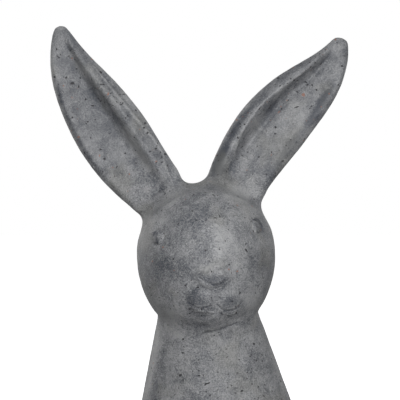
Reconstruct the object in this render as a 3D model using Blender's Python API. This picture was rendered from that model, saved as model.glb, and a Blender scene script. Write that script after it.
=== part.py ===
"""Rabbit garden sculpture: the head, ears and upper chest of a cement rabbit, cast in one piece.

Lengths are in metres and +Z is up. The rabbit looks along -Y, and "left" and "right" are the
viewer's, with +X to the right. The origin is the middle of the flat underside.
"""
import math
from typing import NamedTuple

import bmesh
import bpy
from mathutils import Matrix, Vector

# Head: an egg that stands in front of the neck, wider at the top than at the chin, with a full throat
HEAD_CENTRE_HEIGHT = 0.171
HEAD_ASIDE = -0.0126
HEAD_FORWARD = 0.022
HEAD_HALF_WIDTH = 0.0693
HEAD_RISE = 0.072
HEAD_DROP = 0.084
HEAD_FRONT = 0.076
HEAD_BACK = 0.072
THROAT_FULLNESS = 3.0

# Neck and chest: a cone of rounded oval section, cut off flat below
NECK_HEIGHT = 0.105
NECK_HALF_WIDTH = 0.052
NECK_HALF_DEPTH = 0.057
NECK_ASIDE = -0.0096
NECK_FORWARD = 0.020
BASE_HALF_WIDTH = 0.0815
BASE_HALF_DEPTH = 0.078
BASE_EDGE = 0.003
BODY_SQUARENESS = 2.25

# The face is tipped towards the left ear and looks a little to the right
FACE_ROLL = math.radians(6.0)
FACE_TURN = math.radians(3.5)
FACE_EDGE = 0.35

# Eyes: low oval domes, their tops tipped towards each other, with a groove round them
LEFT_EYE_ASIDE = 0.0484
RIGHT_EYE_ASIDE = 0.0514
EYE_UP = 0.0240
EYE_TILT = math.radians(18.0)
EYE_HALF_WIDTH = 0.0044
EYE_HALF_HEIGHT = 0.0065
EYE_RISE = 0.0020
EYE_GROOVE = 0.0004
EYE_GROOVE_RING = 1.15
EYE_GROOVE_BREADTH = 0.22
SOCKET_RADIUS = 0.016
SOCKET_DEPTH = 0.0010

# Muzzle and nose
MUZZLE_DOWN = 0.036
MUZZLE_HALF_WIDTH = 0.036
MUZZLE_HALF_HEIGHT = 0.032
MUZZLE_RISE = 0.0045
NOSE_DOWN = 0.0190
NOSE_HALF_WIDTH = 0.0165
NOSE_ABOVE = 0.0290
NOSE_BELOW = 0.0085
NOSE_RISE = 0.0033
NOSE_EDGE = 1.22
NOSE_EDGE_BREADTH = 0.8

# Lips and chin; the mouth is level, though the face round it is tipped
MOUTH_TILT = math.radians(-10.0)
LIP_ASIDE = 0.0140
LIP_DOWN = 0.0420
LIP_RADIUS = 0.0135
LIP_RISE = 0.0024
LIP_EDGE = 1.1
LIP_EDGE_BREADTH = 0.7
CLEFT_DEPTH = 0.0006
CLEFT_HALF_WIDTH = 0.0035
CLEFT_HALF_HEIGHT = 0.010
CHIN_DOWN = 0.0590
CHIN_RADIUS = 0.0110
CHIN_RISE = 0.0012
CHIN_EDGE = 1.3
CHIN_WIDENING = 0.7

# Ears: shape that both share
EAR_BACKWARD_LEAN = math.radians(12.0)
EAR_ROOT_BACK = 0.004
EAR_ROOT_RISE = 0.005
ROOT_FLARE = 0.6
SEAT_ROUNDING = 0.12
EAR_FRONT_SWELL = 0.0090
EAR_BACK_SWELL = 0.0135
EAR_THINNING = 0.75
EAR_WIDEST = 0.36
EAR_NARROWING = 1.8
EAR_TIP_ROUNDING = 0.25
EAR_TIP_SHORTNESS = 12

# Ears: the rims and the wall and floor of the hollow, across from inner edge -1 to outer edge 1
RIM_RISE = 0.0050
RIM_INSET = 0.12
RIM_BREADTH = 0.17
OUTER_RIM_RISE = 0.0022
OUTER_RIM_PLACE = 0.80
OUTER_RIM_BREADTH = 0.16
WALL_BREADTH = 0.26
FLOOR_PLACE = -0.3
FLOOR_BREADTH = 1.25
FLOOR_SLOPE = 0.8

# Ears: where along an ear the hollow begins and ends
HOLLOW_BEGINS = -0.06
HOLLOW_OPENING = 0.30
HOLLOW_ENDS = 0.77
HOLLOW_CLOSING = 0.20

# Cap of the head that the ears grow from, a square patch of the egg tipped like the face
CAP_CELLS = 20
CAP_REACH = math.radians(60.0)
CAP_TILT = math.radians(9.0)
EAR_CELLS_DEEP = 5
EAR_FRONT_CELL = 8

# Rows of the net over each part, and how close the ears' rows lie towards the tips
HEAD_ROWS = 17
BODY_ROWS = 9
ROOT_ROWS = 4
EAR_ROWS = 22
EAR_ROW_CLOSENESS = 1.5

# How far round the eyes and the mouth the net is finer, in eye heights and lip distances
EYE_NET_REACH = 2.0
EYE_FINE_NET_REACH = 1.6
MOUTH_NET_REACH = 2.2

# How the joins are eased, and how many rings of the net that takes in; the nape is eased once more
# at each of its distances back, and the throat at each of its distances forward
NAPE_BACKS = (-0.016, -0.008, 0.000, 0.008, 0.016, 0.024)
THROAT_FRONTS = (0.036, 0.042, 0.048, 0.054, 0.060, 0.066, 0.072)
ROOT_SOFTENING = 11
SOFTENED_RINGS = 2
SOFTENING_STEP = 0.5

CEMENT_COLOUR = (0.181, 0.185, 0.191, 1.0)
CEMENT_ROUGHNESS = 0.62
SHARP_ANGLE = math.radians(55.0)

AROUND = 4 * CAP_CELLS
OTHER, SKIN, THROAT, SEAT = range(4)
HEAD_CENTRE = Vector((HEAD_ASIDE, -HEAD_FORWARD, HEAD_CENTRE_HEIGHT))


class Ear(NamedTuple):
    """Sizes that differ from one ear to the other."""

    side: int
    cells_across: int
    root_angle: float
    length: float
    width: float
    root_width: float
    lean: tuple
    taper: float
    wall_place: float
    hollow_depth: float


LEFT_EAR = Ear(
    side=-1,
    cells_across=8,
    root_angle=math.radians(37.0),
    length=0.204,
    width=0.0725,
    root_width=0.79,
    lean=(45.0, 35.0, 30.5, 9.0),
    taper=0.75,
    wall_place=-0.45,
    hollow_depth=0.0115,
)
RIGHT_EAR = Ear(
    side=1,
    cells_across=9,
    root_angle=math.radians(23.0),
    length=0.187,
    width=0.0695,
    root_width=0.85,
    lean=(26.0, 38.5, 45.0, 19.0),
    taper=0.70,
    wall_place=-0.59,
    hollow_depth=0.0130,
)


def smooth_step(value):
    """Ease from 0 to 1 as the value goes from 0 to 1."""
    value = min(max(value, 0.0), 1.0)
    return value * value * (3.0 - 2.0 * value)


def bump(value, centre, half_width):
    """Bell curve of height 1 round a centre."""
    return math.exp(-(((value - centre) / half_width) ** 2))


def between(stops, share):
    """Smooth value between evenly spaced stops at a share of their run."""
    place = min(max(share, 0.0), 1.0) * (len(stops) - 1)
    index = min(int(place), len(stops) - 2)
    rest = place - index
    first, last = stops[index], stops[index + 1]
    before = stops[index - 1] if index > 0 else 2.0 * first - last
    after = stops[index + 2] if index + 2 < len(stops) else 2.0 * last - first
    start_slope, end_slope = (last - before) / 2.0, (after - first) / 2.0
    square, cube = rest * rest, rest**3
    return (
        first * (2.0 * cube - 3.0 * square + 1.0)
        + start_slope * (cube - 2.0 * square + rest)
        + last * (3.0 * square - 2.0 * cube)
        + end_slope * (cube - square)
    )


def face_place(direction, radius):
    """Sideways and upward place on the face, measured square to its own middle line."""
    turned = Matrix.Rotation(-FACE_TURN, 3, "Z") @ direction
    level = Matrix.Rotation(FACE_ROLL, 3, "Y") @ turned
    return level.x * radius, level.z * radius


def eye_distance(aside, up):
    """Sideways and upward distance from the nearer eye, square to the tilt of that eye."""
    eye_aside = LEFT_EYE_ASIDE if aside < 0.0 else RIGHT_EYE_ASIDE
    across, height = eye_aside - abs(aside), up - EYE_UP
    turn, rise = math.cos(EYE_TILT), math.sin(EYE_TILT)
    return across * turn - height * rise, across * rise + height * turn


def eye_relief(aside, up):
    """Dome of an eye, with its groove and the shallow socket round it."""
    across, height = eye_distance(aside, up)
    ring = math.hypot(across / EYE_HALF_WIDTH, height / EYE_HALF_HEIGHT)
    dome = EYE_RISE * math.sqrt(max(0.0, 1.0 - ring * ring))
    groove = EYE_GROOVE * bump(ring, EYE_GROOVE_RING, EYE_GROOVE_BREADTH)
    socket = SOCKET_DEPTH * bump(math.hypot(across, height), 0.0, SOCKET_RADIUS)
    return dome - groove - socket


def nose_relief(aside, up):
    """Soft nose that fades into the bridge above and ends in a round edge below."""
    height = up + NOSE_DOWN
    below = min(height, 0.0) / NOSE_BELOW
    above = max(height, 0.0) / NOSE_ABOVE
    ring = math.hypot(aside / NOSE_HALF_WIDTH, below)
    return NOSE_RISE * smooth_step((NOSE_EDGE - ring) / NOSE_EDGE_BREADTH) * (1.0 - smooth_step(above))


def lip_relief(aside, up):
    """Two round upper lips with a cleft between them, and the small lower lip."""
    across = aside * math.cos(MOUTH_TILT) + (up + LIP_DOWN) * math.sin(MOUTH_TILT)
    height = (up + LIP_DOWN) * math.cos(MOUTH_TILT) - aside * math.sin(MOUTH_TILT)
    ring = math.hypot(abs(across) - LIP_ASIDE, height) / LIP_RADIUS
    lips = LIP_RISE * smooth_step((LIP_EDGE - ring) / LIP_EDGE_BREADTH)
    cleft = CLEFT_DEPTH * bump(across, 0.0, CLEFT_HALF_WIDTH) * bump(height, 0.0, CLEFT_HALF_HEIGHT)
    chin = math.hypot(across * CHIN_WIDENING, height + CHIN_DOWN - LIP_DOWN) / CHIN_RADIUS
    return lips - cleft + CHIN_RISE * smooth_step(CHIN_EDGE - chin)


def face_relief(direction, radius):
    """Height of the face's forms over the plain egg."""
    aside, up = face_place(direction, radius)
    front = smooth_step(-direction.y / FACE_EDGE)
    muzzle = MUZZLE_RISE * bump(aside, 0.0, MUZZLE_HALF_WIDTH) * bump(up, -MUZZLE_DOWN, MUZZLE_HALF_HEIGHT)
    return front * (muzzle + eye_relief(aside, up) + nose_relief(aside, up) + lip_relief(aside, up))


def egg_radius(direction):
    """Reach of the plain egg from its centre in a unit direction."""
    depth = HEAD_FRONT if direction.y < 0.0 else HEAD_BACK
    height = HEAD_RISE if direction.z > 0.0 else HEAD_DROP
    fullness = THROAT_FULLNESS if direction.y < 0.0 and direction.z < 0.0 else 2.0
    profile = (abs(direction.y) / depth) ** fullness + (abs(direction.z) / height) ** fullness
    return 1.0 / math.hypot(direction.x / HEAD_HALF_WIDTH, profile ** (1.0 / fullness))


def egg_point(direction):
    """Point of the plain egg in a unit direction."""
    return HEAD_CENTRE + direction * egg_radius(direction)


def head_point(direction):
    """Point of the carved head in a unit direction."""
    radius = egg_radius(direction)
    return HEAD_CENTRE + direction * (radius + face_relief(direction, radius))


def body_section(height):
    """Middle, half width and half depth of the neck and chest at a height."""
    share = 1.0 - height / NECK_HEIGHT
    middle = Vector((NECK_ASIDE * (1.0 - share), -NECK_FORWARD * (1.0 - share), height))
    half_width = NECK_HALF_WIDTH + (BASE_HALF_WIDTH - NECK_HALF_WIDTH) * share
    half_depth = NECK_HALF_DEPTH + (BASE_HALF_DEPTH - NECK_HALF_DEPTH) * share
    return middle, half_width, half_depth


def body_point(turn, height, inset=0.0):
    """Point of the neck and chest at an angle round their axis and a height."""
    middle, half_width, half_depth = body_section(height)
    power = 2.0 / BODY_SQUARENESS
    across = math.copysign(abs(math.cos(turn)) ** power, math.cos(turn))
    along = math.copysign(abs(math.sin(turn)) ** power, math.sin(turn))
    return middle + Vector((across * (half_width - inset), along * (half_depth - inset), 0.0))


def body_turn(point):
    """Angle at which a point lies round the neck and chest, as body_point counts it."""
    middle, half_width, half_depth = body_section(point.z)
    across, along = (point.x - middle.x) / half_width, (point.y - middle.y) / half_depth
    power = BODY_SQUARENESS / 2.0
    return math.atan2(
        math.copysign(abs(along) ** power, along), math.copysign(abs(across) ** power, across)
    )


def outside_body(point):
    """Whether a point is outside the neck and chest, carried on up into the head."""
    middle, half_width, half_depth = body_section(point.z)
    across, along = abs(point.x - middle.x) / half_width, abs(point.y - middle.y) / half_depth
    return across**BODY_SQUARENESS + along**BODY_SQUARENESS > 1.0


def throat_direction(turn):
    """Direction from the head's centre in which the egg sinks into the neck."""
    high, low = math.radians(90.0), math.radians(179.0)
    for _ in range(40):
        middle = (high + low) / 2.0
        flat = math.sin(middle)
        direction = Vector((flat * math.cos(turn), flat * math.sin(turn), math.cos(middle)))
        if outside_body(egg_point(direction)):
            high = middle
        else:
            low = middle
    return direction


def ear_lean(ear, share):
    """Angle of an ear from upright at a share of its length."""
    return math.radians(between(ear.lean, share))


def ear_axes(ear, share):
    """Unit vectors along an ear, across it to its outer edge, and out of its hollow."""
    lean = ear_lean(ear, share)
    back = math.sin(EAR_BACKWARD_LEAN)
    level = math.cos(EAR_BACKWARD_LEAN)
    along = Vector((ear.side * math.sin(lean) * level, back, math.cos(lean) * level))
    across = Vector((ear.side * math.cos(lean), 0.0, -math.sin(lean)))
    out = along.cross(across) * -ear.side
    return along, across, out


def ear_spine(ear, share):
    """Middle of an ear at a share of its length, followed up from the root."""
    angle = ear.root_angle
    root = Vector((ear.side * math.sin(angle), 0.0, math.cos(angle)))
    place = egg_point(root) + ear_axes(ear, 0.0)[0] * EAR_ROOT_RISE
    place.y += EAR_ROOT_BACK
    steps = 48
    for step in range(steps):
        middle = share * (step + 0.5) / steps
        place += ear_axes(ear, middle)[0] * (ear.length * share / steps)
    return place


def ear_width_share(ear, share):
    """Width of an ear as a share of its widest place."""
    if share < EAR_WIDEST:
        return ear.root_width + (1.0 - ear.root_width) * math.sin(math.pi / 2.0 * share / EAR_WIDEST)
    run = (share - EAR_WIDEST) / (1.0 - EAR_WIDEST)
    roundness = ear.taper - EAR_TIP_ROUNDING * run**EAR_TIP_SHORTNESS
    return max(0.0, 1.0 - run**EAR_NARROWING) ** roundness


def ear_front(ear, across, share):
    """Height of an ear's front over its middle plane, from inner edge -1 to outer edge 1."""
    swell = EAR_FRONT_SWELL * math.sqrt(max(0.0, 1.0 - across * across))
    inner_rim = RIM_RISE * bump(across, ear.wall_place - RIM_INSET, RIM_BREADTH)
    outer_rim = OUTER_RIM_RISE * bump(across, OUTER_RIM_PLACE, OUTER_RIM_BREADTH)
    wall = smooth_step((across - ear.wall_place) / WALL_BREADTH)
    floor = 1.0 - FLOOR_SLOPE * smooth_step((across - FLOOR_PLACE) / FLOOR_BREADTH)
    opening = smooth_step((share - HOLLOW_BEGINS) / HOLLOW_OPENING)
    closing = 1.0 - smooth_step((share - HOLLOW_ENDS) / HOLLOW_CLOSING)
    return swell + (inner_rim + outer_rim - ear.hollow_depth * wall * floor) * opening * closing


def ear_point(ear, turn, share):
    """Point of an ear at an angle round its section, from the inner edge over the front."""
    along, side, out = ear_axes(ear, share)
    width_share = ear_width_share(ear, share)
    across = -math.cos(turn)
    depth_share = width_share**EAR_THINNING
    if math.sin(turn) > 0.0:
        depth = ear_front(ear, across, share) * depth_share
    else:
        depth = EAR_BACK_SWELL * math.sin(turn) * depth_share
    half_width = ear.width * width_share / 2.0
    return ear_spine(ear, share) + side * (across * half_width) + out * depth


def root_point(ear, start, centre, turn, share, first_share):
    """Point on the fillet that carries an ear's surface into the head."""
    end = ear_point(ear, turn, first_share)
    reach = (end - start).length
    inward = centre - start
    normal = (start - HEAD_CENTRE).normalized()
    inward = (inward - normal * inward.dot(normal)).normalized() * reach * ROOT_FLARE
    upward = ear_axes(ear, first_share)[0] * reach
    square, cube = share * share, share**3
    return (
        start * (2.0 * cube - 3.0 * square + 1.0)
        + inward * (cube - 2.0 * square + share)
        + end * (3.0 * square - 2.0 * cube)
        + upward * (cube - square)
    )


def cap_direction(across, along):
    """Direction of a place on the cap, whose two coordinates run from -1 to 1."""
    flat = Vector((math.tan(across * CAP_REACH), math.tan(along * CAP_REACH), 1.0)).normalized()
    return Matrix.Rotation(-CAP_TILT, 3, "Y") @ flat


def extrude_ring(mesh, number, ring, place):
    """Extrude a ring of vertices once and put each new one at its place by its number.

    Returns the new ring, in order.
    """
    members = set(ring)
    edges = [edge for vertex in ring for edge in vertex.link_edges]
    rim = {edge for edge in edges if edge.is_boundary and members.issuperset(edge.verts)}
    made = bmesh.ops.extrude_edge_only(mesh, edges=list(rim))["geom"]
    new_ring = [item for item in made if isinstance(item, bmesh.types.BMVert)]
    new_ring.sort(key=lambda vertex: vertex[number])
    for vertex in new_ring:
        vertex.co = place(vertex[number])
    return new_ring


def make_cap(mesh):
    """Make the square cap of the head and return its vertices by row and column."""
    bmesh.ops.create_grid(mesh, x_segments=CAP_CELLS, y_segments=CAP_CELLS, size=1.0)
    grid = {}
    for vertex in mesh.verts:
        column = round((vertex.co.x + 1.0) * CAP_CELLS / 2.0)
        row = round((vertex.co.y + 1.0) * CAP_CELLS / 2.0)
        grid[column, row] = vertex
        vertex.co = egg_point(cap_direction(vertex.co.x, vertex.co.y))
    return grid


def cap_border(grid):
    """Return the cap's border vertices in order, anticlockwise from the right front corner."""
    last = CAP_CELLS
    right = [grid[last, row] for row in range(last)]
    back = [grid[column, last] for column in range(last, 0, -1)]
    left = [grid[0, row] for row in range(last, 0, -1)]
    front = [grid[column, 0] for column in range(last)]
    return right + back + left + front


def grow_head(mesh, number, border):
    """Carry the cap's border down over the head to the throat and return the last ring."""
    starts = [(vertex.co - HEAD_CENTRE).normalized() for vertex in border]
    turns = [math.radians(-45.0 + 360.0 * index / AROUND) for index in range(AROUND)]
    ends = [throat_direction(turn) for turn in turns]
    for index, vertex in enumerate(border):
        vertex[number] = index
    ring = border
    for row in range(1, HEAD_ROWS + 1):
        share = row / HEAD_ROWS
        ring = extrude_ring(mesh, number, ring, lambda i: egg_point(starts[i].slerp(ends[i], share)))
    return ring


def grow_body(mesh, number, throat):
    """Carry the throat down over the neck and chest to the flat underside."""
    tops = [vertex.co.copy() for vertex in throat]
    firsts = [body_turn(top) for top in tops]
    lasts = [math.radians(-45.0 + 360.0 * index / AROUND) for index in range(AROUND)]
    drifts = [math.remainder(last - first, 2.0 * math.pi) for first, last in zip(firsts, lasts)]
    ring = throat
    for row in range(1, BODY_ROWS + 1):
        share = row / BODY_ROWS

        def place(index):
            height = tops[index].z + (BASE_EDGE - tops[index].z) * share
            return body_point(firsts[index] + drifts[index] * smooth_step(share), height)

        ring = extrude_ring(mesh, number, ring, place)
    ring = extrude_ring(mesh, number, ring, lambda i: body_point(lasts[i], 0.0, inset=BASE_EDGE))
    bmesh.ops.contextual_create(mesh, geom=ring)


def ear_seat(grid, ear):
    """Vertices round an ear's seat on the cap, in order from the inner edge over the front."""
    middle = CAP_CELLS // 2
    inner = middle + ear.side
    outer = inner + ear.side * ear.cells_across
    front, back = EAR_FRONT_CELL, EAR_FRONT_CELL + EAR_CELLS_DEEP
    halfway = front + EAR_CELLS_DEEP // 2
    across = range(inner + ear.side, outer, ear.side)
    seat = [grid[inner, row] for row in range(halfway, front - 1, -1)]
    seat += [grid[column, front] for column in across]
    seat += [grid[outer, row] for row in range(front, back + 1)]
    seat += [grid[column, back] for column in reversed(across)]
    seat += [grid[inner, row] for row in range(back, halfway, -1)]
    return seat


def open_seat(mesh, seat):
    """Round the corners of an ear's seat and take away the faces inside it."""
    centre = sum((vertex.co for vertex in seat), Vector()) / len(seat)
    members = set(seat)
    inside = set()
    front = [face for face in seat[0].link_faces if centre_is_nearer(face, seat[0], centre)]
    while front:
        face = front.pop()
        if face in inside:
            continue
        inside.add(face)
        for edge in face.edges:
            if not members.issuperset(edge.verts):
                front.extend(edge.link_faces)
    bmesh.ops.delete(mesh, geom=list(inside), context="FACES")
    for vertex in seat:
        corner = len(vertex.link_faces) == 3
        if corner:
            inward = vertex.co.lerp(centre, SEAT_ROUNDING) - HEAD_CENTRE
            vertex.co = egg_point(inward.normalized())
    return egg_point((centre - HEAD_CENTRE).normalized())


def centre_is_nearer(face, vertex, centre):
    """Whether a face lies on the centre's side of one of its vertices."""
    middle = face.calc_center_median()
    return (middle - centre).length < (vertex.co - centre).length


def grow_ear(mesh, number, grid, ear):
    """Draw an ear up out of its seat on the cap and close its tip."""
    seat = ear_seat(grid, ear)
    centre = open_seat(mesh, seat)
    count = len(seat)
    for index, vertex in enumerate(seat):
        vertex[number] = index
    starts = [vertex.co.copy() for vertex in seat]
    turns = [2.0 * math.pi * (index + 0.5) / count for index in range(count)]
    rests = [1.0 - (row + 1.0) / (EAR_ROWS + 1.0) for row in range(EAR_ROWS)]
    shares = [1.0 - rest**EAR_ROW_CLOSENESS for rest in rests]
    ring = seat
    for row in range(1, ROOT_ROWS + 1):
        rise = row / (ROOT_ROWS + 1.0)
        ring = extrude_ring(
            mesh, number, ring, lambda i: root_point(ear, starts[i], centre, turns[i], rise, shares[0])
        )
    for share in shares:
        ring = extrude_ring(mesh, number, ring, lambda i: ear_point(ear, turns[i], share))
    tip = ear_spine(ear, 1.0)
    ring = extrude_ring(mesh, number, ring, lambda i: tip)
    bmesh.ops.pointmerge(mesh, verts=ring, merge_co=tip)


def sort_vertices(mesh, kind, skin, throat, seats):
    """Write down which vertices are the head's own skin, the throat's and the ear seats'."""
    for vertex in mesh.verts:
        vertex[kind] = OTHER
    for members, value in ((skin, SKIN), (throat, THROAT), (seats, SEAT)):
        for vertex in members:
            vertex[kind] = value


def is_near_eye(vertex, reach):
    """Whether a vertex of the head lies on or round an eye, within a number of eye heights."""
    outward = vertex.co - HEAD_CENTRE
    across, height = eye_distance(*face_place(outward.normalized(), outward.length))
    return outward.y < 0.0 and math.hypot(across, height) < reach * EYE_HALF_HEIGHT


def is_featured(vertex):
    """Whether a vertex of the head lies on an eye, the nose or the lips."""
    outward = vertex.co - HEAD_CENTRE
    aside, up = face_place(outward.normalized(), outward.length)
    muzzle = abs(aside) < MOUTH_NET_REACH * LIP_ASIDE and -CHIN_DOWN - CHIN_RADIUS < up < 0.0
    return is_near_eye(vertex, EYE_NET_REACH) or (outward.y < 0.0 and muzzle)


def halve_net(mesh, kind, chosen):
    """Halve the net between chosen vertices of the head's skin."""
    edges = {edge for vertex in chosen for edge in vertex.link_edges if chosen.issuperset(edge.verts)}
    made = bmesh.ops.subdivide_edges(mesh, edges=list(edges), cuts=1, use_grid_fill=True)
    for item in made["geom_inner"]:
        if isinstance(item, bmesh.types.BMVert):
            item[kind] = SKIN


def refine_face(mesh, kind):
    """Halve the net over the eyes, nose and lips, and once more over the eyes."""
    halve_net(mesh, kind, {item for item in mesh.verts if item[kind] == SKIN and is_featured(item)})
    eyes = {item for item in mesh.verts if item[kind] == SKIN and is_near_eye(item, EYE_FINE_NET_REACH)}
    halve_net(mesh, kind, eyes)


def carve_face(mesh, kind):
    """Move the head's skin out to the carved forms."""
    for vertex in mesh.verts:
        if vertex[kind] == SKIN:
            vertex.co = head_point((vertex.co - HEAD_CENTRE).normalized())


def widen(vertices, rings):
    """Add to a set of vertices the rings of neighbours that lie round it."""
    for _ in range(rings):
        vertices = vertices | {edge.other_vert(vertex) for vertex in vertices for edge in vertex.link_edges}
    return vertices


def soften(mesh, vertices, times):
    """Ease a set of vertices towards their neighbours."""
    for _ in range(times):
        bmesh.ops.smooth_vert(
            mesh,
            verts=list(vertices),
            factor=SOFTENING_STEP,
            use_axis_x=True,
            use_axis_y=True,
            use_axis_z=True,
        )


def soften_joins(mesh, kind):
    """Ease the nape, from the sides round to the back, the throat's front and the ears' roots."""
    throat = {vertex for vertex in mesh.verts if vertex[kind] == THROAT}
    join = widen(throat, SOFTENED_RINGS)
    for back in NAPE_BACKS:
        soften(mesh, {vertex for vertex in join if vertex.co.y > back}, 1)
    for forward in THROAT_FRONTS:
        soften(mesh, {vertex for vertex in join if vertex.co.y < -forward}, 1)
    seats = {vertex for vertex in mesh.verts if vertex[kind] == SEAT}
    soften(mesh, widen(seats, SOFTENED_RINGS), ROOT_SOFTENING)


def make_cement():
    """Grey cement, matt, with the colour of the bust."""
    material = bpy.data.materials.new("cement")
    material.use_nodes = True
    shader = material.node_tree.nodes["Principled BSDF"]
    shader.inputs["Base Color"].default_value = CEMENT_COLOUR
    shader.inputs["Roughness"].default_value = CEMENT_ROUGHNESS
    shader.inputs["Metallic"].default_value = 0.0
    return material


def make_bust():
    """Make the whole casting as one closed skin."""
    mesh = bmesh.new()
    number = mesh.verts.layers.int.new("number")
    kind = mesh.verts.layers.int.new("kind")
    grid = make_cap(mesh)
    throat = grow_head(mesh, number, cap_border(grid))
    skin = set(mesh.verts) - set(throat)
    grow_body(mesh, number, throat)
    seats = set()
    for ear in (LEFT_EAR, RIGHT_EAR):
        seats.update(ear_seat(grid, ear))
        grow_ear(mesh, number, grid, ear)
    skin = {vertex for vertex in skin if vertex.is_valid} - seats
    sort_vertices(mesh, kind, skin, throat, seats)
    refine_face(mesh, kind)
    carve_face(mesh, kind)
    soften_joins(mesh, kind)
    bmesh.ops.recalc_face_normals(mesh, faces=mesh.faces)
    bust = bpy.data.meshes.new("rabbit_bust")
    mesh.to_mesh(bust)
    mesh.free()
    bust.shade_smooth()
    bust.set_sharp_from_angle(angle=SHARP_ANGLE)
    bust.materials.append(make_cement())
    return bust


def main():
    """Clear the scene and put the bust in it."""
    for item in list(bpy.data.objects):
        bpy.data.objects.remove(item, do_unlink=True)
    bpy.context.collection.objects.link(bpy.data.objects.new("rabbit_bust", make_bust()))


main()
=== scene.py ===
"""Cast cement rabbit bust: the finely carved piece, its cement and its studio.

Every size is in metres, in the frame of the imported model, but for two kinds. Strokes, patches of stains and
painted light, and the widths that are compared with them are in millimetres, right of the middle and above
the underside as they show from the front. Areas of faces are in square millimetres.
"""

import logging
import math
from dataclasses import dataclass
from enum import Enum

import bpy
import numpy as np
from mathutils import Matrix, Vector


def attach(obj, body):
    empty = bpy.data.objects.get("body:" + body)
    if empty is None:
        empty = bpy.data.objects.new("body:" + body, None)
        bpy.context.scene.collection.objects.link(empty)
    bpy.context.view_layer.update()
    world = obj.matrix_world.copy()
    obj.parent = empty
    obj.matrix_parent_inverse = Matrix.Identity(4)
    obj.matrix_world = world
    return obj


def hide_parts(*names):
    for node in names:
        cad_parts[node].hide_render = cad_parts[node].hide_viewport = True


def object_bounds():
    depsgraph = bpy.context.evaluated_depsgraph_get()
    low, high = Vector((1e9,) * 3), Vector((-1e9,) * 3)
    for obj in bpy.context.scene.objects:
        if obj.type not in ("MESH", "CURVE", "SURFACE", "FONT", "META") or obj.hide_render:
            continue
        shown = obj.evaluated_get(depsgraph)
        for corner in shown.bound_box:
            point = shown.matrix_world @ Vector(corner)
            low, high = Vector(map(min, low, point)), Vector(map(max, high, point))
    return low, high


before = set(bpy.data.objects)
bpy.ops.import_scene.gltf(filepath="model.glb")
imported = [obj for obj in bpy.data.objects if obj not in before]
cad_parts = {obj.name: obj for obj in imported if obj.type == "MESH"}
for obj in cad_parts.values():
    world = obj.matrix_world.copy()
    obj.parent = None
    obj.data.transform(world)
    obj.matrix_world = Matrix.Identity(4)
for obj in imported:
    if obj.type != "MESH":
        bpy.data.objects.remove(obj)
SOLID_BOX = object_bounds()

LOG = logging.getLogger("rabbit")
MM = 0.001
# The middle of the values that a noise gives.
NOISE_MIDDLE = 0.5
# The share of a dot's radius that its soft edge takes.
DOT_EDGE = 0.3
# How far apart the points of a rounded path are, as a share of the way between two stops.
CURVE_STEP = 0.125
# The longest side over the shortest, up to which a face counts as square.
SQUARE_RATIO = 1.3

Point = tuple[float, float]
Colour = tuple[float, float, float]


class Cut(Enum):
    """How the side of a carved or raised line runs."""

    ROUND = "round"
    SHARP = "sharp"


@dataclass(frozen=True)
class Cloud:
    """A cloudy layer: the size of one cloud, how many finer layers it has and how strong they are."""

    size: float
    detail: float = 2.0
    rough: float = 0.5


@dataclass(frozen=True)
class Dots:
    """Scattered dots: the distance between places, the largest radius and the share of places in use."""

    spacing: float
    radius: float
    share: float


class Wire:
    """A shader socket that takes part in sums as a number does."""

    def __init__(self, bench: "Bench", socket: bpy.types.NodeSocket) -> None:
        """Keeps the socket and the bench that its Math nodes go on."""
        self.bench = bench
        self.socket = socket

    def _math(self, operation: str, *values: "Wire | float") -> "Wire":
        """Adds one Math node.

        Args:
            operation: The node's operation.
            values: What goes into its sockets, in order.

        Returns:
            The node's result.
        """
        settings = {"operation": operation}
        return self.bench.add("ShaderNodeMath", settings, dict(enumerate(values)))

    def __add__(self, other: "Wire | float") -> "Wire":
        """Self plus other."""
        return self._math("ADD", self, other)

    def __radd__(self, other: float) -> "Wire":
        """Other plus self."""
        return self._math("ADD", other, self)

    def __sub__(self, other: "Wire | float") -> "Wire":
        """Self less other."""
        return self._math("SUBTRACT", self, other)

    def __rsub__(self, other: float) -> "Wire":
        """Other less self."""
        return self._math("SUBTRACT", other, self)

    def __mul__(self, other: "Wire | float") -> "Wire":
        """Self times other."""
        return self._math("MULTIPLY", self, other)

    def __rmul__(self, other: float) -> "Wire":
        """Other times self."""
        return self._math("MULTIPLY", other, self)

    def rise(self, low: float, high: float) -> "Wire":
        """A soft step.

        Args:
            low: The value where it starts.
            high: The value where it ends; below low the step falls.

        Returns:
            0 at low, 1 at high, and smooth between.
        """
        settings = {"interpolation_type": "SMOOTHSTEP"}
        values = {"Value": self, "From Min": min(low, high), "From Max": max(low, high)}
        values |= {"To Min": float(low > high), "To Max": float(low <= high)}
        return self.bench.add("ShaderNodeMapRange", settings, values)

    def at_least(self, other: "Wire | float") -> "Wire":
        """The larger of self and other."""
        return self._math("MAXIMUM", self, other)

    def at_most(self, other: "Wire | float") -> "Wire":
        """The smaller of self and other."""
        return self._math("MINIMUM", self, other)


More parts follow.
